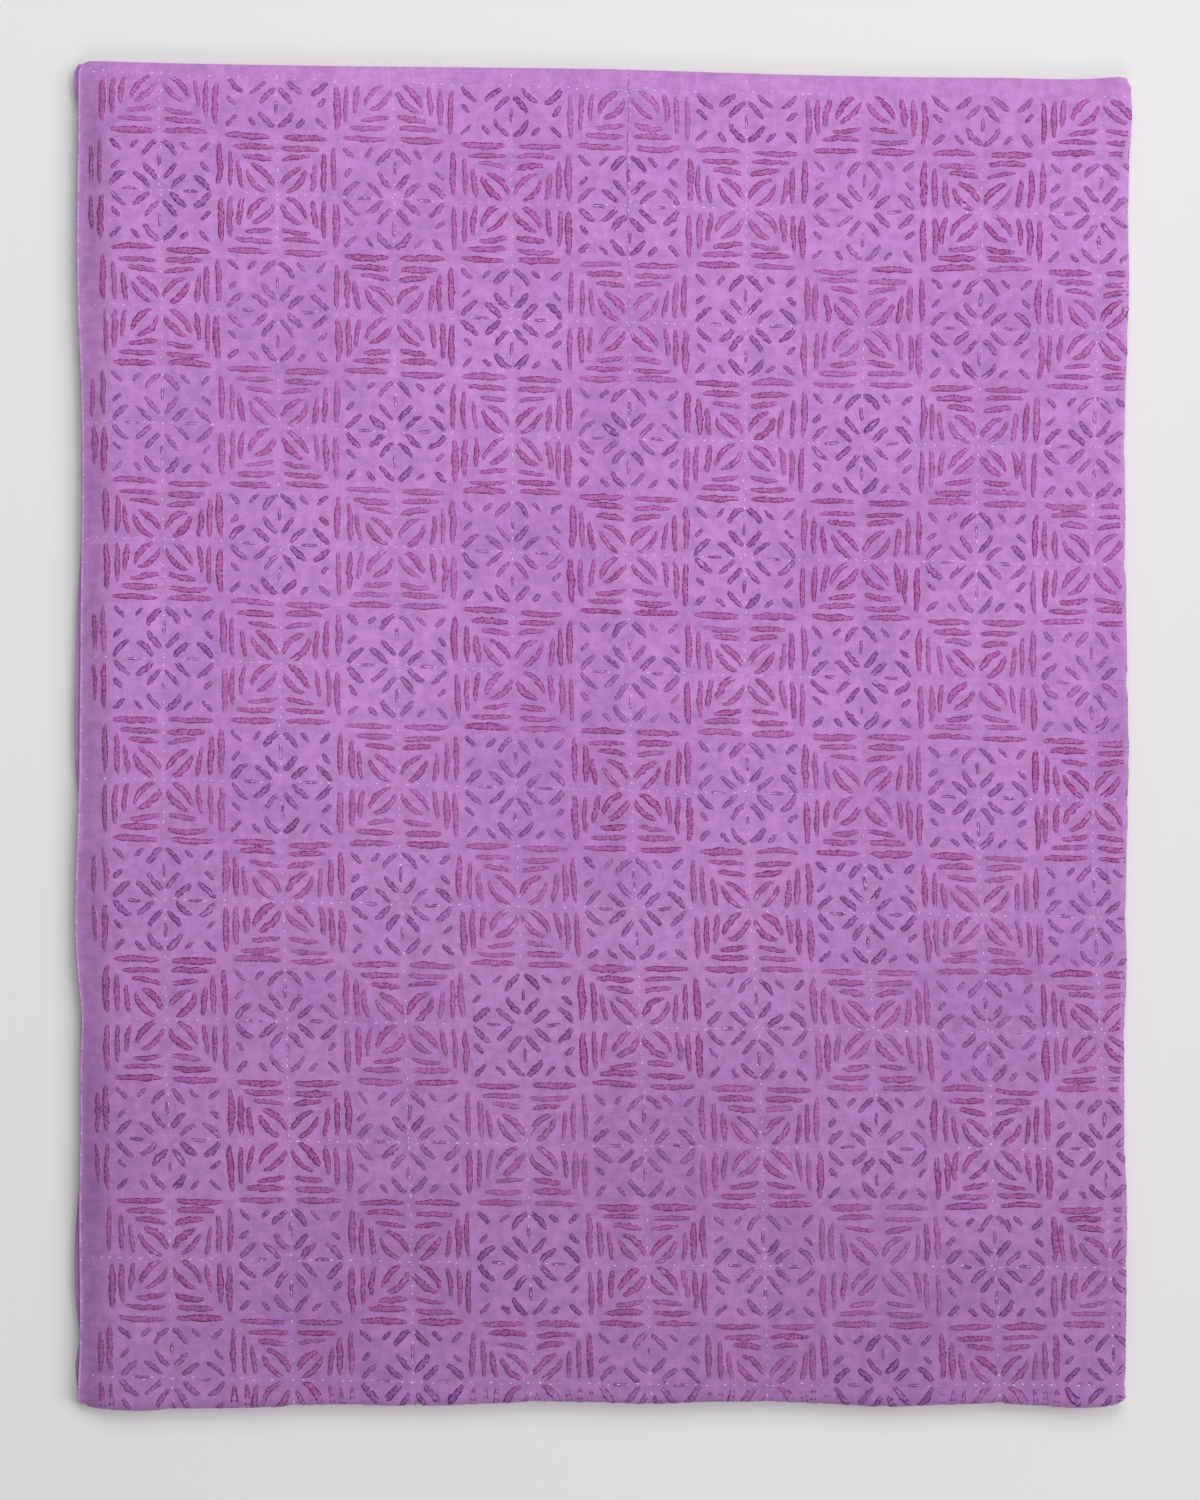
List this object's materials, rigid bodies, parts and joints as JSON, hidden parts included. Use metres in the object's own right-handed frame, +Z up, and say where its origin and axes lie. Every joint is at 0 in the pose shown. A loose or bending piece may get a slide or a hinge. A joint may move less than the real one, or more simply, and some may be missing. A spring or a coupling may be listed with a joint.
{
  "type": "applique quilt, folded in quarters",
  "caption": "Hand quilted cotton quilt with an over-dyed cutwork top, folded twice and lying flat, finished edges on two sides and folds on the other two.",
  "frame": {"origin": "middle of the folded quilt's underside, on the surface it lies on", "axes": "+X from the finished left edge to the first fold, +Y from the second fold to the finished top edge, +Z up out of the stack"},
  "size_m": [1.0808, 1.3804, 0.0284],
  "materials": {
    "lilac_cotton": "over-dyed plain weave cotton, matt, with crimson and slate cutwork openings and white running stitch"
  },
  "bodies": {
    "root": {"applique_quilt": "lilac_cotton"}
  },
  "joints": []
}
